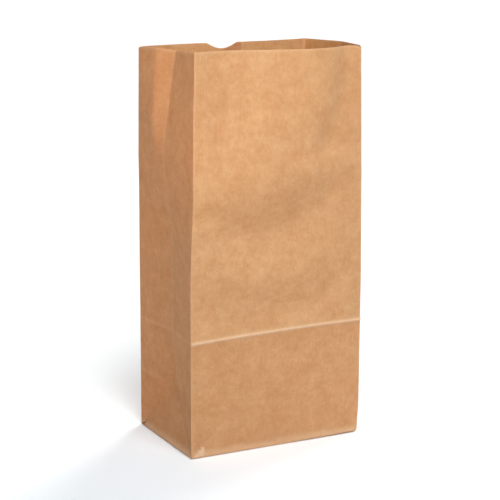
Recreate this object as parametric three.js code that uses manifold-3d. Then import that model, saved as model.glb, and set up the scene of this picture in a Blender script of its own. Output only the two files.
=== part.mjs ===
// Brown paper lunch bag, standing open: a self-opening sack folded from one kraft sheet.
// The sheet is glued into a tube by a lap seam in the back panel, its sides are gussets with a
// centre fold, and its lower end is folded flat and glued to make the base.
// Origin at the centre of the base, +X to the right across the front panel, +Y to the back,
// +Z up. All sizes are in millimetres.
import * as THREE from 'three';
import { mergeVertices } from 'three/addons/utils/BufferGeometryUtils.js';
import Module from 'manifold-3d';

const WIDTH = 133.35; // front and back panels, fold to fold (5 1/4 in)
const DEPTH = 87.3; // gussets opened flat (3 7/16 in)
const HEIGHT = 277.8; // base to rim (10 15/16 in)
const PAPER = 0.1; // one ply of 57 g/m2 kraft
const KRAFT_COLOUR = 0xc8925f;

const HALF_WIDTH = WIDTH / 2;
const HALF_DEPTH = DEPTH / 2;
const CREASE = 82.5; // height of the storage crease that runs round the tube
const POP = 203; // height at which the left gusset has popped straight
const STRAIGHT = 115; // below this the front folds stand upright

// Each upright fold is a polyline of knots: [height on the sheet, x, y, z].
// The bag was opened by hand, so its folds lean by a few millimetres towards the mouth.
const FRONT_LEFT = [
  [0, -HALF_WIDTH, -HALF_DEPTH, 0],
  [STRAIGHT, -HALF_WIDTH + 0.3, -HALF_DEPTH, STRAIGHT],
  [181, -HALF_WIDTH + 2.7, -HALF_DEPTH - 1, 181],
  [HEIGHT, -HALF_WIDTH + 3.6, -HALF_DEPTH - 2, HEIGHT + 0.9],
];
const FRONT_RIGHT = [
  [0, HALF_WIDTH, -HALF_DEPTH, 0],
  [STRAIGHT, HALF_WIDTH + 0.6, -HALF_DEPTH, STRAIGHT],
  [HEIGHT, HALF_WIDTH - 1.4, -HALF_DEPTH + 0.6, HEIGHT + 0.6],
];
const BACK_RIGHT = [
  [0, HALF_WIDTH, HALF_DEPTH, 0],
  [CREASE, HALF_WIDTH, HALF_DEPTH - 0.3, CREASE],
  [HEIGHT, HALF_WIDTH + 0.2, HALF_DEPTH - 2.6, HEIGHT - 0.6],
];
const BACK_LEFT = [
  [0, -HALF_WIDTH, HALF_DEPTH, 0],
  [CREASE, -HALF_WIDTH + 0.2, HALF_DEPTH - 0.5, CREASE],
  [POP, -HALF_WIDTH + 0.4, HALF_DEPTH - 1.2, POP],
  [HEIGHT, -HALF_WIDTH + 0.5, HALF_DEPTH - 3.8, HEIGHT - 1.3],
];
// The centre folds of the gussets start at the vertex where the 45 degree folds meet.
// The left one is pushed in but for the place where it has popped straight, and the right
// one is pushed in at the base and out at the mouth.
const LEFT_CENTRE = [
  [HALF_DEPTH, -HALF_WIDTH + 10, -0.5, HALF_DEPTH - 2.2],
  [CREASE, -HALF_WIDTH + 6.7, 0, CREASE - 0.5],
  [152, -HALF_WIDTH + 7.2, 0, 152],
  [POP, -HALF_WIDTH - 0.2, 6.5, POP],
  [HEIGHT, -HALF_WIDTH + 10.2, -2.6, HEIGHT - 1.1],
];
const RIGHT_CENTRE = [
  [HALF_DEPTH, HALF_WIDTH - 8, 0, HALF_DEPTH - 1.2],
  [CREASE, HALF_WIDTH - 5.5, 0, CREASE - 0.3],
  [170, HALF_WIDTH - 1, 0, 170],
  [HEIGHT, HALF_WIDTH + 6.8, -1.2, HEIGHT + 0.2],
];

const MOUTH_BOW = 9; // how far the front panel stands out at the rim
const CREASE_SWELL = 3.2; // how far the front panel stands out at the crease
const BACK_WAVE = 2.8; // shallow S of the back panel at the rim
const GUSSET_BEND = 5.5; // rounded bend in the rear half of the left gusset at the rim

const NOTCH_X = -1.5; // thumb notch in the rim of the back panel
const NOTCH_WIDTH = 23;
const NOTCH_DEPTH = 4.2;
const NOTCH_BAND = 12; // the strip under the rim that the notch is cut from

const SEAM_INNER_EDGE = 13; // x of the cut edge inside the back panel
const SEAM_OUTER_EDGE = 0; // x of the cut edge outside it, one 13 mm lap to the left
const SEAM_STEP = 0.1; // run of the step at each cut edge

const FLAP_LAP = 10; // how far each bottom flap passes the centre line of the base
const FLAP_DEPTH = HALF_DEPTH + FLAP_LAP;
const GLUE = 0.01; // plies that are glued face to face share this much

// Grid on the sheet. The 45 degree folds run through its corners.
const FOLD_CELLS = 4; // across half a gusset, and up to the vertex of the 45 degree folds
const FRONT_CELLS = 12;
const BACK_CELLS = 5; // on each side of the seam and notch
const NOTCH_CELLS = 4; // on each side of the middle of the notch
const UPPER_LEVELS = [56, 69, CREASE, 98, STRAIGHT, 133, 152, 169, 186, POP, 220, 236, 252];

// A point of an upright fold at a height on the sheet.
function onFold(fold, height) {
  const upper = Math.max(1, fold.findIndex(([level]) => level >= height));
  const [lowLevel, ...low] = fold[upper - 1];
  const [highLevel, ...high] = fold[upper];
  const t = (height - lowLevel) / (highLevel - lowLevel);
  return new THREE.Vector3(...low).lerp(new THREE.Vector3(...high), t);
}

// The front panel bows out at the mouth, and a little along the crease.
function frontPoint(u, height) {
  const point = onFold(FRONT_LEFT, height).lerp(onFold(FRONT_RIGHT, height), u);
  const swell = THREE.MathUtils.smoothstep(height, STRAIGHT, HEIGHT);
  point.y -= MOUTH_BOW * swell * Math.sin(Math.PI * u ** 1.55) ** 2;
  const nearCrease = Math.max(0, 1 - Math.abs(height - CREASE) / CREASE);
  point.y -= CREASE_SWELL * nearCrease * Math.sin(Math.PI * u ** 0.8);
  return point;
}

// The back panel runs from right to left. Its rim dips by an arc at the thumb notch.
function backPoint(u, height) {
  const point = onFold(BACK_RIGHT, height).lerp(onFold(BACK_LEFT, height), u);
  const wave = BACK_WAVE * THREE.MathUtils.smoothstep(height, CREASE, HEIGHT);
  point.y -= wave * Math.sin(2 * Math.PI * u);
  if (height === HEIGHT) point.z -= notchDrop(HALF_WIDTH - u * WIDTH);
  return point;
}

function notchDrop(x) {
  const across = Math.min(1, Math.abs(x - NOTCH_X) / (NOTCH_WIDTH / 2));
  return NOTCH_DEPTH * Math.cos(across * Math.PI / 2);
}

// A gusset at a distance along the sheet from its front fold. Above the vertex it is two
// panels that meet at the centre fold. Below it, a 45 degree fold runs down to each bottom
// corner: the facet between them stands on the base, the others hang from the upright folds.
function gussetPoint(front, centre, back, along, height) {
  const fromCorner = Math.min(along, DEPTH - along);
  const upright = along <= HALF_DEPTH ? front : back;
  if (height >= HALF_DEPTH) {
    return onFold(upright, height).lerp(onFold(centre, height), fromCorner / HALF_DEPTH);
  }
  const vertex = onFold(centre, HALF_DEPTH);
  if (height >= fromCorner) {
    return onFold(upright, 0).multiplyScalar(1 - height / HALF_DEPTH)
      .addScaledVector(onFold(upright, HALF_DEPTH), (height - fromCorner) / HALF_DEPTH)
      .addScaledVector(vertex, fromCorner / HALF_DEPTH);
  }
  const rise = height / HALF_DEPTH;
  const foot = (along - rise * HALF_DEPTH) / (DEPTH * (1 - rise));
  return onFold(front, 0).lerp(onFold(back, 0), foot).lerp(vertex, rise);
}

function rightPoint(u, height) {
  return gussetPoint(FRONT_RIGHT, RIGHT_CENTRE, BACK_RIGHT, u * DEPTH, height);
}

// The left gusset runs from back to front, and its rear half is bent outwards at the mouth.
function leftPoint(u, height) {
  const point = gussetPoint(FRONT_LEFT, LEFT_CENTRE, BACK_LEFT, (1 - u) * DEPTH, height);
  const bend = GUSSET_BEND * THREE.MathUtils.smoothstep(height, POP, HEIGHT);
  point.x -= bend * Math.sin(Math.PI * Math.min(1, 2 * u));
  return point;
}

// Columns of the grid, once round the tube from the front left fold, anticlockwise from above.
// cover and depth are the plies between the sheet's outer surface and its outer and inner
// faces there: the lap seam steps both.
function sheetColumns() {
  const columns = [];
  const run = (pointAt, start, end, cells, slope = 'rising') => {
    for (let i = 0; i < cells; i += 1) {
      const u = THREE.MathUtils.lerp(start, end, i / cells);
      columns.push({ pointAt: (height) => pointAt(u, height), slope, cover: 0, depth: 1 });
    }
  };
  run(frontPoint, 0, 1, FRONT_CELLS);
  run(rightPoint, 0, 0.5, FOLD_CELLS, 'rising');
  run(rightPoint, 0.5, 1, FOLD_CELLS, 'falling');
  backColumns().forEach((column) => columns.push(column));
  run(leftPoint, 0, 0.5, FOLD_CELLS, 'rising');
  run(leftPoint, 0.5, 1, FOLD_CELLS, 'falling');
  return columns;
}

// Columns of the back panel from its right fold: plain cells, the inner cut edge of the lap,
// the notch with the outer cut edge inside it, and plain cells to the left fold.
function backColumns() {
  const notchRight = NOTCH_X + NOTCH_WIDTH / 2;
  const notchLeft = NOTCH_X - NOTCH_WIDTH / 2;
  const places = [];
  const stretch = (from, to, cells) => {
    for (let i = 0; i < cells; i += 1) places.push(THREE.MathUtils.lerp(from, to, i / cells));
  };
  stretch(HALF_WIDTH, SEAM_INNER_EDGE + SEAM_STEP, BACK_CELLS);
  places.push(SEAM_INNER_EDGE + SEAM_STEP);
  places.push(SEAM_INNER_EDGE);
  stretch(notchRight, SEAM_OUTER_EDGE, NOTCH_CELLS);
  places.push(SEAM_OUTER_EDGE);
  places.push(SEAM_OUTER_EDGE - SEAM_STEP);
  stretch(NOTCH_X, notchLeft, NOTCH_CELLS);
  stretch(notchLeft, -HALF_WIDTH, BACK_CELLS);
  return places.map((x) => ({
    pointAt: (height) => backPoint((HALF_WIDTH - x) / WIDTH, height),
    slope: 'rising',
    ...pliesAt(x),
  }));
}

// Right of the outer cut edge the sheet that ends inside lies over the other one, so both
// faces move in by one ply at its edge and come back by the left fold.
function pliesAt(x) {
  if (x > SEAM_INNER_EDGE) return { cover: 0, depth: 1 };
  if (x >= SEAM_OUTER_EDGE) return { cover: 0, depth: 2 };
  const fade = (x + HALF_WIDTH) / (SEAM_OUTER_EDGE + HALF_WIDTH);
  return { cover: fade, depth: 1 + fade };
}

function sheetLevels() {
  const levels = [];
  for (let i = 0; i <= FOLD_CELLS; i += 1) levels.push(HALF_DEPTH * i / FOLD_CELLS);
  return [...levels, ...UPPER_LEVELS, HEIGHT - NOTCH_BAND, HEIGHT];
}

// The two triangles of a grid cell, split along the slope of its 45 degree fold.
function cellTriangles(a, b, c, d, slope) {
  return slope === 'rising' ? [[a, b, c], [a, c, d]] : [[a, b, d], [b, c, d]];
}

// Index triangles of the grid, which closes on itself round the tube.
function gridTriangles(columns, rows) {
  const triangles = [];
  for (let i = 0; i < columns.length; i += 1) {
    const next = (i + 1) % columns.length;
    for (let j = 0; j + 1 < rows; j += 1) {
      const corners = [i * rows + j, next * rows + j, next * rows + j + 1, i * rows + j + 1];
      triangles.push(...cellTriangles(...corners, columns[i].slope));
    }
  }
  return triangles;
}

// For each grid point, the move that carries every facet round it inwards by one millimetre.
function inwardMoves(points, triangles) {
  const sums = points.map(() => ({ normal: new THREE.Vector3(), angle: 0 }));
  const triangle = new THREE.Triangle();
  const normal = new THREE.Vector3();
  for (const corners of triangles) {
    triangle.set(...corners.map((index) => points[index]));
    triangle.getNormal(normal);
    corners.forEach((index, k) => {
      const toNext = points[corners[(k + 1) % 3]].clone().sub(points[index]);
      const toLast = points[corners[(k + 2) % 3]].clone().sub(points[index]);
      const angle = toNext.angleTo(toLast);
      sums[index].normal.addScaledVector(normal, angle);
      sums[index].angle += angle;
    });
  }
  return sums.map(({ normal: sum, angle }) => {
    const mean = sum.divideScalar(angle);
    return mean.divideScalar(-mean.lengthSq());
  });
}

// The wall of the bag as a closed solid: the sheet's outer and inner faces, joined by the
// cut edge at the rim and by a ring at the base.
function wallGeometry() {
  const columns = sheetColumns();
  const levels = sheetLevels();
  const rows = levels.length;
  const surface = columns.flatMap(({ pointAt }) => levels.map((height) => pointAt(height)));
  const triangles = gridTriangles(columns, rows);
  const moves = inwardMoves(surface, triangles);
  const shifted = (plies) => surface.map((point, index) => {
    const { [plies]: count } = columns[Math.floor(index / rows)];
    const move = moves[index].clone().multiplyScalar(count * PAPER);
    if (index % rows === 0 || index % rows === rows - 1) move.z = 0;
    return point.clone().add(move);
  });
  const corners = [...shifted('cover'), ...shifted('depth')];
  const toInner = surface.length;
  const innerFaces = triangles.map(([a, b, c]) => [a + toInner, c + toInner, b + toInner]);
  const faces = [...triangles, ...innerFaces];
  for (let i = 0; i < columns.length; i += 1) {
    const next = (i + 1) % columns.length;
    const foot = [i * rows, next * rows];
    const rim = foot.map((index) => index + rows - 1);
    faces.push(...edgeTriangles(rim[0], rim[1], toInner));
    faces.push(...edgeTriangles(foot[1], foot[0], toInner));
  }
  return indexedGeometry(corners, faces);
}

// The cut edge between the outer face and the inner face over one cell.
function edgeTriangles(start, end, toInner) {
  return [[start, end, end + toInner], [start, end + toInner, start + toInner]];
}

function indexedGeometry(corners, faces) {
  const geometry = new THREE.BufferGeometry();
  const positions = corners.flatMap(({ x, y, z }) => [x, y, z]);
  geometry.setAttribute('position', new THREE.Float32BufferAttribute(positions, 3));
  geometry.setIndex(faces.flat());
  return geometry;
}

// A flat ply of the base between two heights.
function plyGeometry(outline, bottom, top) {
  const shape = new THREE.Shape(outline.map(([x, y]) => new THREE.Vector2(x, y)));
  const geometry = new THREE.ExtrudeGeometry(shape, { depth: top - bottom, bevelEnabled: false });
  return geometry.translate(0, 0, bottom);
}

// The folded base, from outside to inside: the back flap, which is glued on last, the front
// flap, the doubled corners of the back flap, and the end tucks of the gussets with the
// doubled corners of the front flap.
function baseGeometries() {
  const x = HALF_WIDTH - PAPER / 2;
  const y = HALF_DEPTH - PAPER / 2;
  const freeX = HALF_WIDTH - FLAP_DEPTH;
  const flap = (side) => {
    const freeY = -side * FLAP_LAP;
    return [[-x, side * y], [x, side * y], [freeX, freeY], [-freeX, freeY]];
  };
  const corner = (side) => [[side * x, y], [side * freeX, y], [side * freeX, -FLAP_LAP]];
  const tuckX = HALF_WIDTH - 1.2 * PAPER; // inside the wall, which leans in above the base
  const tuck = (side) => [[side * tuckX, -y], [side * freeX, -y], [side * freeX, y], [side * tuckX, y]];
  return [
    plyGeometry(flap(1), 0, PAPER),
    plyGeometry(flap(-1), PAPER - GLUE, 2 * PAPER),
    plyGeometry(corner(-1), PAPER - GLUE, 2 * PAPER),
    plyGeometry(corner(1), PAPER - GLUE, 2 * PAPER),
    plyGeometry(tuck(-1), 2 * PAPER - GLUE, 4 * PAPER),
    plyGeometry(tuck(1), 2 * PAPER - GLUE, 4 * PAPER),
  ];
}

function toManifold(wasm, geometry) {
  const bare = new THREE.BufferGeometry();
  bare.setAttribute('position', geometry.getAttribute('position'));
  bare.setIndex(geometry.getIndex());
  const merged = mergeVertices(bare);
  return new wasm.Manifold(new wasm.Mesh({
    numProp: 3,
    vertProperties: new Float32Array(merged.getAttribute('position').array),
    triVerts: new Uint32Array(merged.getIndex().array),
  }));
}

function toGeometry(manifold) {
  const mesh = manifold.getMesh();
  const geometry = new THREE.BufferGeometry();
  geometry.setAttribute('position', new THREE.Float32BufferAttribute(mesh.vertProperties, 3));
  geometry.setIndex(new THREE.Uint32BufferAttribute(mesh.triVerts, 1));
  return geometry;
}

async function bagGeometry() {
  const wasm = await Module();
  wasm.setup();
  const wall = toManifold(wasm, wallGeometry());
  const sack = baseGeometries().reduce((solid, ply) => solid.add(toManifold(wasm, ply)), wall);
  return toGeometry(sack);
}

const kraft = new THREE.MeshStandardMaterial({ color: KRAFT_COLOUR, roughness: 0.85, metalness: 0 });
const paperBag = new THREE.Mesh(await bagGeometry(), kraft);
paperBag.name = 'paper_bag';

const bag = new THREE.Group();
bag.name = 'lunch_bag';
bag.add(paperBag);

export default bag;
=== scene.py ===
# A brown paper lunch bag that stands open: one sheet of kraft paper, folded as a
# self-opening sack. Everything is in metres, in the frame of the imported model.
import math

import bmesh
import bpy
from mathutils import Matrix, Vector, noise


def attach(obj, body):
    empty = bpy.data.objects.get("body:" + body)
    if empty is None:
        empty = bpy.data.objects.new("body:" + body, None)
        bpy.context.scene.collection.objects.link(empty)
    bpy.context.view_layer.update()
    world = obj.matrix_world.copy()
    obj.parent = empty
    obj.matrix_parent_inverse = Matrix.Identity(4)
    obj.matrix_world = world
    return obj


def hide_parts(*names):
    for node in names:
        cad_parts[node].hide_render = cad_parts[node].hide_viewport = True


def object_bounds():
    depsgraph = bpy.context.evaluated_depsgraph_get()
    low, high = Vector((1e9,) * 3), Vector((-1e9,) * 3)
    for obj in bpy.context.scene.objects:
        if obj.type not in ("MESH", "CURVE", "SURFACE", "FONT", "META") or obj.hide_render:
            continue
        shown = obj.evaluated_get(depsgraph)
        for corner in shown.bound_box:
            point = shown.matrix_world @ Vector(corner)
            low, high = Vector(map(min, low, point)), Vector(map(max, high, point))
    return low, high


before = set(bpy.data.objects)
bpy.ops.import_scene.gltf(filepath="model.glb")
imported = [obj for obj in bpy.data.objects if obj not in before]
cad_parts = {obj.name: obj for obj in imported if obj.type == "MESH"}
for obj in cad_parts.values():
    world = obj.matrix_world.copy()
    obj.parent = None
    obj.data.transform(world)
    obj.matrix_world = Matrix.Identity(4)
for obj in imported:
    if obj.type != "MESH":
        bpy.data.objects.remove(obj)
cad_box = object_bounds()


# ---- Camera -----------------------------------------------------------------------------
# A long lens, looking down a little at the front panel and the left gusset.
MM = 0.001
FRONT_FOLD_RISE = 0.9 * MM  # the front left fold stands this far above the sheet's height
height = cad_box[1].z - FRONT_FOLD_RISE

camera_turn = math.radians(27.0)
camera_drop = math.radians(12.1)
camera_reach = 1.113
camera_aim = Vector((0.9 * MM, 0, 0.4767 * height))

camera_data = bpy.data.cameras.new("camera")
camera_data.lens = 115
camera_data.sensor_width = 36
camera = bpy.data.objects.new("camera", camera_data)
camera.location = camera_aim + Vector((
    -math.sin(camera_turn) * camera_reach,
    -math.cos(camera_turn) * camera_reach,
    math.tan(camera_drop) * camera_reach,
))
camera.rotation_euler = (camera_aim - camera.location).to_track_quat("-Z", "Y").to_euler()
bpy.context.scene.collection.objects.link(camera)
bpy.context.scene.camera = camera


# ---- Kraft sheet ------------------------------------------------------------------------
# The whole bag: a tube of 57 g/m2 unbleached kraft paper with gusseted sides. Its lower end
# runs on past the base by the depth of the bottom flaps, and is folded flat and glued.
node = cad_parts["paper_bag"]
foot = [v.co for v in node.data.vertices if v.co.z < 0.01 * MM]
half_width = max(co.x for co in foot)
half_depth = max(co.y for co in foot)
PAPER = 0.1 * MM
CREASE = 82.5 * MM  # storage crease round the tube
POP = 203 * MM  # height at which the left gusset has popped straight
flap_depth = half_depth + 10 * MM  # the bottom flaps lap by 10 mm each side of the middle
SEAM_INNER_EDGE = 13 * MM  # the sheet's cut edge that lies inside the back panel
SEAM_OUTER_EDGE = 0  # and the one that lies outside, the lap's other side
SEAM_STEP = 0.12 * MM  # run of the paper's step down at each cut edge of the seam
lap_start = SEAM_OUTER_EDGE + SEAM_STEP / 2
lap_end = SEAM_INNER_EDGE + SEAM_STEP / 2

NOTCH_X = -1.5 * MM  # thumb notch in the rim of the back panel
NOTCH_WIDTH = 23 * MM
NOTCH_DEPTH = 4.2 * MM
NOTCH_BAND = 12 * MM  # the strip under the rim that the notch is cut from

TOUCHING = 0.001 * MM  # a point as near to a face of the tube as this lies on it
SQUARE = 0.9  # a face whose normal has this much of a direction faces that way


def everywhere(centre, normal):
    return True


def on_end(centre, normal):
    return abs(normal.z) > SQUARE


def on_gusset(centre, normal):
    return abs(normal.x) > SQUARE


def on_back(centre, normal):
    return normal.y > SQUARE and centre.z > -half_depth


def choose(wanted):
    """Selects the faces of the sheet that wanted(centre, normal) picks, and nothing else."""
    shell = bmesh.from_edit_mesh(sheet.data)
    for part in (shell.verts, shell.edges, shell.faces):
        for element in part:
            element.select = False
    for face in shell.faces:
        face.select_set(wanted(face.calc_center_median(), face.normal))
    shell.select_flush_mode()
    bmesh.update_edit_mesh(sheet.data)


def score(point, normal, wanted=everywhere):
    """Marks a straight fold line on the chosen faces, where a plane crosses them."""
    choose(wanted)
    bpy.ops.mesh.bisect(plane_co=point, plane_no=normal)


bpy.ops.object.select_all(action="DESELECT")
bpy.ops.mesh.primitive_cube_add(
    size=1,
    location=(0, 0, (height - flap_depth) / 2),
    scale=(2 * half_width, 2 * half_depth, height + flap_depth),
)
sheet = bpy.context.object
sheet.name = "kraft_sheet"
bpy.ops.object.transform_apply(location=True, rotation=True, scale=True)
bpy.ops.object.mode_set(mode="EDIT")
bpy.ops.mesh.select_mode(type="FACE")
choose(on_end)
bpy.ops.mesh.delete(type="FACE")

# Cells of about 11 mm, with an edge on every fold, then a finer grid inside each cell.
HALF_WIDTH_CELLS = 6
HALF_DEPTH_CELLS = 4
CELLS_TO_CREASE = 3
CELLS_TO_RIM = 18
for i in range(1, 2 * HALF_WIDTH_CELLS):
    score(((i / HALF_WIDTH_CELLS - 1) * half_width, 0, 0), (1, 0, 0))
for i in range(1, 2 * HALF_DEPTH_CELLS):
    score((0, (i / HALF_DEPTH_CELLS - 1) * half_depth, 0), (0, 1, 0))
levels = [half_depth * i / HALF_DEPTH_CELLS for i in range(-HALF_DEPTH_CELLS, HALF_DEPTH_CELLS + 1)]
for i in range(1, CELLS_TO_CREASE + 1):
    levels.append(half_depth + (CREASE - half_depth) * i / CELLS_TO_CREASE)
for i in range(1, CELLS_TO_RIM):
    levels.append(CREASE + (height - CREASE) * i / CELLS_TO_RIM)
for level in levels:
    score((0, 0, level), (0, 0, 1))
choose(everywhere)
bpy.ops.mesh.subdivide(number_cuts=4)

# Fine strips beside the upright folds, the base edge, the crease and the seam, where the
# paper turns within a millimetre or two. Their distances are in millimetres.
for strip in (0.4, 1.0, 1.8):
    for side in (-1, 1):
        score((side * (half_width - strip * MM), 0, 0), (1, 0, 0))
        score((0, side * (half_depth - strip * MM), 0), (0, 1, 0))
for strip in (-3, -2, -1.2, -0.5, 0.5, 1.2, 2, 3):
    score((0, 0, strip * MM), (0, 0, 1))
for strip in (-1.5, -0.8, -0.3, 0.3, 0.8, 1.5):
    score((0, 0, CREASE + strip * MM), (0, 0, 1))
for strip in (-0.7, 0.7):
    score((0, strip * MM, 0), (0, 1, 0), on_gusset)
score((0, 0, height - 0.4 * MM), (0, 0, 1))

for edge in (SEAM_INNER_EDGE, SEAM_OUTER_EDGE):
    for step in (0, SEAM_STEP):
        score((edge + step, 0, 0), (1, 0, 0), on_back)
for side in (-1, 1):
    score((NOTCH_X + side * NOTCH_WIDTH / 2, 0, 0), (1, 0, 0), on_back)

# The 45 degree folds: from each bottom corner up the gusset to its centre fold, and down
# across the ends of the front and back flaps.
for front_or_back in (-1, 1):
    score(
        (0, front_or_back * half_depth, 0), (0, front_or_back, 1),
        lambda centre, normal: on_gusset(centre, normal)
        and centre.y * front_or_back > 0 and 0 < centre.z < half_depth,
    )
    for side in (-1, 1):
        score(
            (side * half_width, 0, 0), (side, 0, -1),
            lambda centre, normal: normal.y * front_or_back > SQUARE
            and centre.x * side > 0 and centre.z < 0,
        )

# Near the mouth of the left gusset a crease has moved off the centre fold, by this much where
# the gusset has popped straight.
POP_SHIFT = 7.3 * MM
score(
    (0, 0, height), (0, height - POP, POP_SHIFT),
    lambda centre, normal: normal.x < -SQUARE and centre.z > POP,
)

# Faces that now have more than four sides are cut into triangles.
bpy.ops.mesh.select_all(action="DESELECT")
bpy.ops.mesh.select_face_by_sides(number=4, type="GREATER")
bpy.ops.mesh.quads_convert_to_tris()
bpy.ops.object.mode_set(mode="OBJECT")

# The leans of the upright folds from a square tube, in millimetres: height, then x, y, z.
FRONT_LEFT = [
    (0, 0, 0, 0), (115, 0.3, 0, 0), (131, 0.6, -0.2, 0), (155, 1.4, -0.5, 0),
    (181, 2.6, -1, 0), (240, 2.9, -1.6, 0.5), (252, 3.5, -1.8, 0.7), (278, 3.6, -2, 0.9),
]
FRONT_RIGHT = [
    (0, 0, 0, 0), (40, 0.3, 0, 0), (118, 0.7, 0, 0), (187, 0, 0.1, 0.3), (278, -1.5, 0.6, 0.6),
]
BACK_RIGHT = [(0, 0, 0, 0), (82.5, 0, -0.3, 0), (278, 0.2, -2.6, -0.6)]
BACK_LEFT = [(0, 0, 0, 0), (82.5, 0.2, -0.5, 0), (203, 0.4, -1.2, 0), (278, 0.5, -3.8, -1.3)]
LEFT_CENTRE = [
    (43.65, 10, -0.5, -2.2), (82.5, 6.7, 0, -0.5), (152, 7.2, 0, 0), (203, -0.2, -0.8, 0),
    (278, 10.2, -2.6, -1.1),
]
RIGHT_CENTRE = [(43.65, -8, 0, -1.2), (82.5, -5.5, 0, -0.3), (170, -1, 0, 0), (278, 6.8, -1.2, 0.2)]
LEFT_FOLDS = (FRONT_LEFT, LEFT_CENTRE, BACK_LEFT)
RIGHT_FOLDS = (FRONT_RIGHT, RIGHT_CENTRE, BACK_RIGHT)


def lean(fold, level):
    """How far an upright fold has moved from the square tube, at a height on the sheet."""
    high = next((i for i in range(1, len(fold)) if fold[i][0] * MM >= level), len(fold) - 1)
    start, end = fold[high - 1], fold[high]
    t = (level / MM - start[0]) / (end[0] - start[0])
    return Vector(start[1:]).lerp(Vector(end[1:]), max(0, t)) * MM


def eased(value, start, end):
    t = min(1, max(0, (value - start) / (end - start)))
    return t * t * (3 - 2 * t)


def gusset_lean(folds, along, level, fold_at):
    """Move of a gusset point, at a distance along from the front fold. Its folds meet at a
    vertex. Above it the gusset is two panels that meet at the centre fold, at fold_at. Below
    it, 45 degree folds run down to the bottom corners."""
    front, centre, back = folds
    if level >= half_depth:
        if along <= fold_at:
            side, to_centre = front, along / fold_at
        else:
            side, to_centre = back, (2 * half_depth - along) / (2 * half_depth - fold_at)
        return lean(side, level).lerp(lean(centre, level), min(1, to_centre))
    from_corner = min(along, 2 * half_depth - along)
    vertex = lean(centre, half_depth)
    upright = lean(front if along <= half_depth else back, half_depth)
    if level >= from_corner:
        return (upright * (level - from_corner) + vertex * from_corner) / half_depth
    return vertex * level / half_depth


def softened(folds, along, level, fold_at, radius):
    """The same move with the centre fold rounded over the radius."""
    total = Vector()
    shares = (-1, -0.5, 0, 0.5, 1)
    radius = min(radius, 0.4 * max(0, level))  # the bottom corners stay sharp
    for share in shares:
        near = min(2 * half_depth, max(0, along + share * radius))
        total += gusset_lean(folds, near, level, fold_at)
    return total / len(shares)


def rear_bend(rear, level):
    """Extra move of the left gusset's rear half, from its centre (0) to the rear fold (1). It
    is bent outwards near the mouth, and swells beside the base's level crease."""
    bend_at = 0.18 + 0.12 * eased(level, POP, height)
    from_bend = abs(rear - bend_at) / (bend_at if rear < bend_at else 1 - bend_at)
    near_mouth = eased(level, POP - 10 * MM, POP + 25 * MM)
    bend = near_mouth * max(0, 1 - math.hypot(from_bend, 0.12))
    near_crease = max(0, 1 - abs(level - half_depth) / (25 * MM))
    swell_out = 2.6 * MM * near_crease * math.sin(math.pi * rear)
    return Vector((-6.8, 0, 1.3)) * MM * bend - Vector((swell_out, 0, 0))


def left_move(along, level):
    """Move of a left gusset point. The gusset has popped straight at one height, where its
    centre fold is a wide soft bend."""
    if level < POP:
        shift = POP_SHIFT * eased(level, 152 * MM, POP)
    else:
        shift = POP_SHIFT * (height - level) / (height - POP)
    popped = eased(level, 140 * MM, 185 * MM) * (1 - eased(level, POP, 225 * MM))  # 0 to 1
    radius = (0.8 + 7 * popped) * MM
    move = softened(LEFT_FOLDS, along, level, half_depth + shift, radius)
    if along > half_depth:
        move += rear_bend((along - half_depth) / half_depth, level)
    elif 0 < level < half_depth:  # the 45 degree fold in its front half is a slight groove
        move.x += 0.6 * MM * max(0, 1 - abs(along - level) / (2 * MM))
    return move


def right_move(along, level):
    return softened(RIGHT_FOLDS, along, level, half_depth, 1.2 * MM)


MOUTH_BOW = 9 * MM  # how far the front panel stands out at the rim
CREASE_BOW = Vector((0, -4.5, 2.3)) * MM  # and how far it stands out and up at the crease
BACK_WAVE = 2.8 * MM  # shallow S of the back panel at the rim


def front_move(across, level):
    """across runs from the left fold."""
    u = across / (2 * half_width)
    move = lean(FRONT_LEFT, level).lerp(lean(FRONT_RIGHT, level), u)
    move.y -= MOUTH_BOW * eased(level, 115 * MM, height) * math.sin(math.pi * u ** 1.55) ** 2
    near_crease = max(0, 1 - abs(level - CREASE) / CREASE)
    move += CREASE_BOW * near_crease * math.sin(math.pi * u ** 0.8)
    return move


def back_move(across, level):
    """across runs from the right fold."""
    u = across / (2 * half_width)
    move = lean(BACK_RIGHT, level).lerp(lean(BACK_LEFT, level), u)
    move.y -= BACK_WAVE * eased(level, CREASE, height) * math.sin(2 * math.pi * u)
    x = half_width - across
    notch = min(1, abs(x - NOTCH_X) / (NOTCH_WIDTH / 2))
    near_rim = min(1, max(0, (level - height + NOTCH_BAND) / NOTCH_BAND))
    move.z -= NOTCH_DEPTH * math.cos(notch * math.pi / 2) * near_rim
    if x < lap_start:  # beside the lap the panel lies one ply further in
        move.y -= PAPER * (x + half_width) / half_width
    return move


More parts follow.
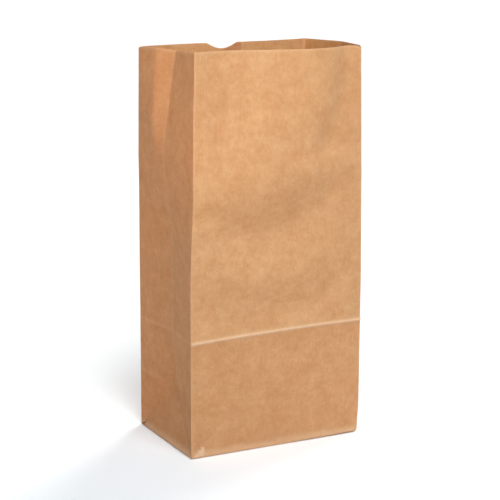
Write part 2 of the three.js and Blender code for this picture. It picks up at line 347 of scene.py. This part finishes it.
# Handling has left soft waves across the front panel. Each line runs along a crest or a
# hollow, in millimetres: the place across, the height, and how far the paper stands out.
FRONT_WAVES = [
    [(0, 0, 0)],
    [(0, 82.5, 0)],
    [(-54, 93, -0.6), (-20, 96, -2.4), (8, 97, -2.7), (32, 101, -2.7), (45, 108, -2.1), (58, 120, -0.6)],
    [(-54, 124, 0.9), (-36, 120, 2.4), (0, 119, 3), (17, 124, 3.3), (31, 131, 3.3), (44, 137, 2.7),
     (57, 144, 0.9)],
    [(-55, 168, -0.3), (-41, 155, -2.4), (-29, 150, -3.6), (-5, 150, -4.2), (8, 156, -4.2),
     (22, 159, -3.9), (37, 164, -2.7), (52, 182, -0.3)],
    [(-58, 178, 1.8), (-34, 187, 5.4), (-17, 190, 6.6), (0, 192, 6), (17, 195, 4.5), (31, 197, 3.3),
     (53, 199, 0.9)],
    [(-60, 232, -0.9), (-50, 234, -4.2), (-40, 237, -5.7), (-26, 234, -4.8), (-12, 227, -2.4),
     (4, 215, -0.9), (17, 209, 0), (53, 214, 0)],
    [(-60, 277.8, -0.6), (-50, 277.8, -3.6), (-40, 277.8, -4.8), (-26, 277.8, -3.6), (-10, 277.8, -0.9),
     (8, 277.8, 0), (53, 277.8, 0)],
]


def along_line(line, across):
    """Height and rise of a wave's line at a place across the panel, in millimetres."""
    after = next((i for i in range(len(line)) if line[i][0] > across), len(line))
    if after in (0, len(line)):
        return line[min(after, len(line) - 1)][1:]
    start, end = line[after - 1], line[after]
    t = (across - start[0]) / (end[0] - start[0])
    return start[1] + t * (end[1] - start[1]), start[2] + t * (end[2] - start[2])


def waves(lines, across, level):
    """How far the paper stands out, eased between each line and the next one up. It is the
    mean of three places 6 mm apart, so that the lines' corners are soft."""
    total = 0
    places = (across / MM - 6, across / MM, across / MM + 6)
    for place in places:
        knots = [along_line(line, place) for line in lines]
        above = next((i for i in range(len(knots)) if knots[i][0] > level / MM), len(knots) - 1)
        low, high = knots[max(0, above - 1)], knots[above]
        total += low[1] + (high[1] - low[1]) * eased(level / MM, low[0], high[0])
    return total / len(places) * MM


# Smaller swells and dents in it, in millimetres: place across, height, half length, half
# width, slope in degrees, and rise.
FRONT_SWELLS = [
    (-59, 158, 9, 5, 0, 1.5),
    (-46, 109, 12, 6, 10, -1.2),
    (-12, 232, 16, 8, 60, 2.1),
    (-14, 262, 12, 10, 0, 1.5),
    (8, 236, 20, 6, 115, -1.8),
    (37, 180, 10, 8, 0, -1.5),
    (-19, 36, 34, 12, 10, 0.75),
    (24, 18, 26, 9, 10, 0.6),
]


def swell(swells, across, level):
    """How far the small swells and dents stand out together."""
    rise = 0
    for x, z, half_length, half_breadth, slope, peak in swells:
        turn = math.radians(slope)
        dx, dz = across / MM - x, level / MM - z
        along = dx * math.cos(turn) + dz * math.sin(turn)
        aside = dz * math.cos(turn) - dx * math.sin(turn)
        rise += peak * math.exp(-(along / half_length) ** 2 - (aside / half_breadth) ** 2)
    return rise * MM


LEFT_RUB = 1.2 * MM  # how far the rim sinks at the rear left fold, whose top has been rubbed
RIGHT_RUB = 2.4 * MM  # and at the front right fold


def rubbed_corner(from_fold, level, drop):
    """How far the rim sinks beside an upright fold whose top has been rubbed over."""
    near_fold = max(0, 1 - from_fold / (4.5 * MM)) ** 2
    return drop * near_fold * eased(level, height - 12 * MM, height)


def crushed_corner(from_fold, level):
    """How far the front's lower left corner has been pushed in, under a small slanting fold."""
    return 0.5 * max(0, min(0.9 * from_fold - level, 11 * MM - from_fold, level + 2 * MM))


def crinkle(along, level, from_fold):
    """Slight waviness of handled paper, some 20 mm long and a few tenths of a millimetre high.
    It dies away at the folds and the base, and partly at the rim."""
    place = Vector((along, level, 0)) / (20 * MM)
    rise = noise.noise(place) + 0.4 * noise.noise(2.3 * place)
    from_rim = 3 * (height - level) + 5 * MM
    return 0.3 * MM * rise * eased(min(from_fold, level, from_rim), 0, 14 * MM)


def soft_fold(across, level):
    """A long soft fold down from the rim near the right side: the paper steps in beyond it,
    and comes out again by the upright fold."""
    at = 26 * MM + 24 * MM * eased(level, 190 * MM, 275 * MM)
    depth = 4.5 * MM * eased(level, 190 * MM, 215 * MM)
    step_in = eased(across, at - 11 * MM, at + 9 * MM)
    step_out = eased(across, at + 9 * MM, half_width)
    return depth * (step_out - step_in)


def folded_base(x, y, z):
    """Where a point below the base line goes once the lower end is folded flat: the gusset
    ends tuck in first, then the front flap, then the back flap, with doubled corners."""
    depth = -z
    folded_x = math.copysign(half_width - depth, x)
    if abs(x) >= half_width - TOUCHING:  # end tuck
        return Vector((folded_x, y, 3.3 * PAPER))
    to_end = half_width - abs(x)
    side = math.copysign(1, y)
    back = y > 0
    if to_end >= depth:  # flap
        return Vector((x, side * (half_depth - depth), 0 if back else 1.1 * PAPER))
    return Vector((folded_x, side * (half_depth - to_end), (2.2 if back else 3.2) * PAPER))


def rounded(point):
    """Rounds the base's edge and the upright folds of the square tube. They were pressed
    sharp, and have opened more to the right."""
    to_right = (point.x + half_width) / (2 * half_width)
    base_radius = (0.6 + 2.2 * to_right ** 6) * MM
    fold_radius = (0.45 + 0.5 * to_right) * MM
    radius = base_radius + (fold_radius - base_radius) * eased(point.z, base_radius, 8 * base_radius)
    held = Vector((
        min(half_width - radius, max(radius - half_width, point.x)),
        min(half_depth - radius, max(radius - half_depth, point.y)),
        max(base_radius, point.z),
    ))
    out = point - held
    if out.length < 1e-9:
        return point
    return held + out * (max(abs(out.x), abs(out.y), abs(out.z)) / out.length)


def full_gusset_move(x, y, level):
    """Move of a gusset point, with what handling has done to it. The crinkles of each side
    are taken a metre away from the others, so that no two sides have the same."""
    move = left_move(y + half_depth, level) if x < 0 else right_move(y + half_depth, level)
    from_fold = half_depth - abs(y)
    move.x += math.copysign(crinkle(y + math.copysign(1, x), level, from_fold), x)
    if x * y < 0:
        move.z -= rubbed_corner(from_fold, level, RIGHT_RUB if x > 0 else LEFT_RUB)
    below_diagonal = from_fold - level
    if x < 0 < y and below_diagonal > 0.05 * MM:  # the pinch at the foot of the rear left fold
        pinch = max(0, 1 - below_diagonal / (5 * MM)) * max(0, 1 - level / (12 * MM))
        move.x += 3 * MM * pinch
    return move


def full_front_move(x, level):
    """Move of a front panel point. Its waves die away at the folds and the base."""
    move = front_move(x + half_width, level)
    from_fold = half_width - abs(x)
    relief = waves(FRONT_WAVES, x, level) + swell(FRONT_SWELLS, x, level) + soft_fold(x, level)
    relief *= eased(from_fold, 0, 8 * MM) * eased(level, 0, 20 * MM)
    ridge = 1 * MM * max(0, 1 - abs(level - CREASE) / (2 * MM))  # the crease's own crest
    move.y -= relief + ridge + crinkle(x, level, from_fold + 3 * MM)
    if x < 0:
        move.y += crushed_corner(from_fold, level)
    else:
        move.z -= rubbed_corner(from_fold, level, RIGHT_RUB)
    return move


def full_back_move(x, level):
    """Move of a back panel point."""
    move = back_move(half_width - x, level)
    from_fold = half_width - abs(x)
    move.y += crinkle(x + 1, level, from_fold)
    if x < 0:
        move.z -= rubbed_corner(from_fold, level, LEFT_RUB)
    return move


def fold_sheet(point):
    """Where a point of the plain tube goes in the opened bag."""
    x, y, level = point
    if level < -TOUCHING:
        return rounded(folded_base(x, y, level))
    place = rounded(point)
    askew = (0.4 + 1.4 * x / half_width) * MM  # the crease climbs a little to the right
    place.z += askew * max(0, 1 - abs(level - CREASE) / CREASE)
    if abs(x) >= half_width - TOUCHING:
        return place + full_gusset_move(x, y, level)
    return place + (full_front_move(x, level) if y < 0 else full_back_move(x, level))


# The paper's grain follows the flat sheet, so each place on the tube keeps its place there:
# the way round from the lap seam, and the height, both in metres.
flat = sheet.data.uv_layers.new(name="flat_sheet")
quarter = half_width + half_depth  # of the way round the tube
for face in sheet.data.polygons:
    for loop in face.loop_indices:
        point = sheet.data.vertices[sheet.data.loops[loop].vertex_index].co
        left = face.center.x < 0
        if abs(face.normal.x) > SQUARE:
            round_tube = quarter - point.y if left else 3 * quarter + point.y
        elif face.normal.y < 0:
            round_tube = 2 * quarter + point.x
        else:
            round_tube = -point.x if left else 4 * quarter - point.x
        flat.data[loop].uv = (round_tube, point.z)


def faded(amount, distance, reach, power=1):
    """A pale mark that dies away with the distance from a fold, slowly at first with a higher power."""
    return amount * math.exp(-(distance / reach) ** power)


# How pale the paper is near a fold, from 0 to 1: wear where its fibres have been bent and paled,
# and painted highlight along the storage crease's crest, along the foot and on the pushed-in corner's
# facet.
wear_and_highlight = sheet.data.attributes.new("wear_and_painted_highlight", "FLOAT", "POINT")
for vertex in sheet.data.vertices:
    x, y, level = vertex.co
    from_side, from_face = half_width - abs(x), half_depth - abs(y)
    gusset = from_side < TOUCHING
    wear_and_highlights = [
        faded(0.2, max(from_side, from_face), 0.7 * MM),  # upright folds
        # the storage crease: fold wear, with a painted highlight along its crest on the front
        faded(0.12 if gusset else 0.8, abs(level - CREASE), 1.1 * MM, 2),
        faded(0.4, height - level, 0.5 * MM),  # rim
        # the pale band along the foot is a painted highlight of the light from the floor
        faded(0.4, level, 5 * MM, 4),  # foot
    ]
    if gusset and level >= half_depth:
        wear_and_highlights.append(faded(0.12, abs(y), 0.8 * MM))  # centre folds
    if gusset and y < 0 <= level <= half_depth:
        wear_and_highlights.append(faded(0.1, abs(from_face - level), 1.1 * MM))  # 45 degree folds in front
    if level < 0 or (y > 0 and level > 0):
        wear_and_highlights.append(faded(0.06, abs(abs(level) - half_depth), 0.7 * MM))  # the base's level crease
    # the pushed-in corner's facet: painted highlight
    if x < 0 and y < 0 and not gusset:
        wear_and_highlights.append(min(1, crushed_corner(from_side, level) / (0.8 * MM)))
    wear_and_highlight.data[vertex.index].value = max(wear_and_highlights)

# Painted shade: the gussets get a deeper, redder brown than the front and back, deepest at
# the rear foot of a gusset, and the front panel gets a little of it below the storage crease.
GUSSET_PAINTED_SHADE = 0.75
REAR_FOOT_PAINTED_SHADE = 0.25  # more at the rear foot of a gusset
LOW_FRONT_PAINTED_SHADE = 0.22
INSIDE_PAINTED_SHADE = 0.25
painted_shade = sheet.data.attributes.new("painted_shade", "FLOAT", "POINT")
for vertex in sheet.data.vertices:
    x, y, level = vertex.co
    shade_share = 0
    if half_width - abs(x) < TOUCHING:
        shade_share = GUSSET_PAINTED_SHADE * min(1, 0.5 + (half_depth - abs(y)) / MM)
        if level < half_depth - TOUCHING:
            shade_share += REAR_FOOT_PAINTED_SHADE * eased(y, 0, 12 * MM)
    elif y < 0 <= level:
        shade_share = LOW_FRONT_PAINTED_SHADE * eased(CREASE - level, 0, 2 * MM)
    painted_shade.data[vertex.index].value = shade_share

# One ply nearly everywhere, and two where the ends of the sheet lap and are glued.
plies = sheet.vertex_groups.new(name="plies")
for vertex in sheet.data.vertices:
    x, y, level = vertex.co
    lapped = level >= 0 and y > half_depth - TOUCHING and lap_start < x < lap_end
    plies.add([vertex.index], 1 if lapped else 0.5, "REPLACE")

for vertex in sheet.data.vertices:
    vertex.co = fold_sheet(vertex.co.copy())

# The paper's thickness goes inwards from the outer face. The inner face's points come after
# the outer ones, and that face gets a little of the painted shade, the deeper brown, too.
outer_points = len(sheet.data.vertices)
solid = sheet.modifiers.new("paper", "SOLIDIFY")
solid.thickness = 2 * PAPER
solid.offset = -1
solid.vertex_group = plies.name
bpy.context.view_layer.objects.active = sheet
bpy.ops.object.select_all(action="DESELECT")
sheet.select_set(True)
bpy.ops.object.modifier_apply(modifier=solid.name)
painted_shade = sheet.data.attributes["painted_shade"]
for vertex in sheet.data.vertices[outer_points:]:
    painted_shade.data[vertex.index].value = INSIDE_PAINTED_SHADE
bpy.ops.object.shade_smooth_by_angle(angle=math.radians(40))

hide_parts("paper_bag")
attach(sheet, "root")


def linear(colour):
    """An sRGB hex colour as the linear values that a shader takes."""
    channels = [int(colour[i:i + 2], 16) / 255 for i in (1, 3, 5)]
    return [c / 12.92 if c <= 0.04045 else ((c + 0.055) / 1.055) ** 2.4 for c in channels] + [1]


def add(tree, kind, inputs, **settings):
    """A shader node with its settings. An input is a value, or the output that feeds it."""
    made = tree.nodes.new(kind)
    for name, value in settings.items():
        setattr(made, name, value)
    for socket, value in inputs.items():
        if isinstance(value, bpy.types.NodeSocket):
            tree.links.new(value, made.inputs[socket])
        else:
            made.inputs[socket].default_value = value
    return made


def per_metre(size_mm):
    return 1000 / size_mm


# Unbleached kraft paper: brown softwood pulp, matt with hardly any sheen. It looks cloudy
# where the pulp lies thicker and thinner, in patches of about 14 mm and less. Its fibres lie
# along the machine's run, up the bag. One is 3 mm long and 0.03 mm wide, too fine to show,
# so they are drawn as streaks 1.5 mm wide and 6 mm long.
kraft = bpy.data.materials.new("unbleached kraft paper")
kraft.use_nodes = True
tree = kraft.node_tree
place = add(tree, "ShaderNodeUVMap", {}, uv_map="flat_sheet").outputs["UV"]
cloud = add(tree, "ShaderNodeTexNoise", {
    "Vector": place, "Scale": per_metre(14), "Detail": 5, "Roughness": 0.88,
}).outputs["Fac"]
stretch = add(tree, "ShaderNodeMapping", {"Vector": place, "Scale": (1, 0.25, 1)}).outputs["Vector"]
fibre = add(tree, "ShaderNodeTexNoise", {
    "Vector": stretch, "Scale": per_metre(1.5), "Detail": 2, "Roughness": 0.7,
}).outputs["Fac"]

# The pulp's tone is four parts cloud and one part fibre. Both keep near the middle of their
# range, so it is stretched.
tone = add(tree, "ShaderNodeMath", {0: cloud, 1: 0.8}, operation="MULTIPLY").outputs[0]
tone = add(tree, "ShaderNodeMath", {0: fibre, 1: 0.2, 2: tone}, operation="MULTIPLY_ADD").outputs[0]
tone = add(tree, "ShaderNodeMapRange", {
    "Value": tone, "From Min": 0.285, "From Max": 0.715,
}).outputs[0]

# A colour mix takes its share at input 0 and its two colours at inputs 6 and 7.
pulp = add(tree, "ShaderNodeMix", {
    0: tone, 6: linear("#be8759"), 7: linear("#dcaa7f"),
}, data_type="RGBA").outputs[2]
# Painted shade multiplied into the pulp: a deeper, redder brown on the gussets, the low front and the
# inner face.
shade_share = add(tree, "ShaderNodeAttribute", {}, attribute_name="painted_shade").outputs["Fac"]
pulp = add(tree, "ShaderNodeMix", {
    0: shade_share, 6: pulp, 7: linear("#f3dfd5"),
}, data_type="RGBA", blend_type="MULTIPLY").outputs[2]
# Pale fold wear, with painted highlights along the storage crease, the foot and the pushed-in corner's
# facet.
wear_and_highlights = add(tree, "ShaderNodeAttribute", {}, attribute_name="wear_and_painted_highlight").outputs["Fac"]
pulp = add(tree, "ShaderNodeMix", {
    0: wear_and_highlights, 6: pulp, 7: linear("#edc3a0"),
}, data_type="RGBA").outputs[2]
shader = tree.nodes["Principled BSDF"]
tree.links.new(pulp, shader.inputs["Base Color"])
shader.inputs["Roughness"].default_value = 0.75
shader.inputs["IOR"].default_value = 1.45
shader.inputs["Specular IOR Level"].default_value = 0.03

# Thin paper lets some light through to its other side.
shader.inputs["Subsurface Weight"].default_value = 0.75
shader.inputs["Subsurface Radius"].default_value = (0.95, 1, 0.85)
shader.inputs["Subsurface Scale"].default_value = 0.45 * MM

# The surface rises and falls by a few hundredths of a millimetre, too little to show. It is
# drawn coarser, as 0.12 mm at a fifth of full strength.
grain = add(tree, "ShaderNodeMath", {0: cloud, 1: fibre}, operation="ADD").outputs[0]
bump = add(tree, "ShaderNodeBump", {
    "Height": grain, "Strength": 0.2, "Distance": 0.12 * MM,
}).outputs["Normal"]
tree.links.new(bump, shader.inputs["Normal"])
sheet.data.materials.append(kraft)


# ---- Studio -----------------------------------------------------------------------------
# A plain pale floor, a broad key lamp at the front, a back lamp behind on the right, and a
# small cool softbox above the front left.
bpy.ops.object.select_all(action="DESELECT")
FLOOR_GAP = 0.2 * MM  # keeps the floor from meeting the base face to face
bpy.ops.mesh.primitive_plane_add(size=40, location=(0, 0, -FLOOR_GAP))
floor = bpy.context.object
floor.name = "studio_floor"
paint = bpy.data.materials.new("matt white paint")
paint.use_nodes = True
paint.node_tree.nodes["Principled BSDF"].inputs["Base Color"].default_value = linear("#f6f7f8")
paint.node_tree.nodes["Principled BSDF"].inputs["Roughness"].default_value = 0.9
floor.data.materials.append(paint)


def soft_sun(name, turn, lift, spread, strength, colour):
    """A broad, distant lamp. turn is from the front panel's side towards the left gusset's."""
    lamp = bpy.data.lights.new(name, "SUN")
    lamp.color = colour
    lamp.angle = math.radians(spread)
    lamp.energy = strength
    holder = bpy.data.objects.new(name, lamp)
    turn, lift = math.radians(turn), math.radians(lift)
    holder.rotation_euler = Vector((
        math.sin(turn) * math.cos(lift), math.cos(turn) * math.cos(lift), -math.sin(lift),
    )).to_track_quat("-Z", "Y").to_euler()
    bpy.context.scene.collection.objects.link(holder)


soft_sun("key_lamp", 9, 57, 35, 2.57, (1, 1.02, 1.03))
soft_sun("back_lamp", 236, 38, 30, 2.15, (1, 0.99, 0.97))

softbox = bpy.data.lights.new("softbox", "AREA")
softbox.size = 0.3
softbox.energy = 1.4
softbox.color = (0.84, 1, 1.12)
holder = bpy.data.objects.new("softbox", softbox)
holder.location = (-0.25, -0.4, 0.66)
holder.rotation_euler = (camera_aim - holder.location).to_track_quat("-Z", "Y").to_euler()
bpy.context.scene.collection.objects.link(holder)

world = bpy.data.worlds.new("pale room")
world.use_nodes = True
world.node_tree.nodes["Background"].inputs["Color"].default_value = (1, 1, 1, 1)
world.node_tree.nodes["Background"].inputs["Strength"].default_value = 0.03
bpy.context.scene.world = world
bpy.context.scene.view_settings.view_transform = "Standard"
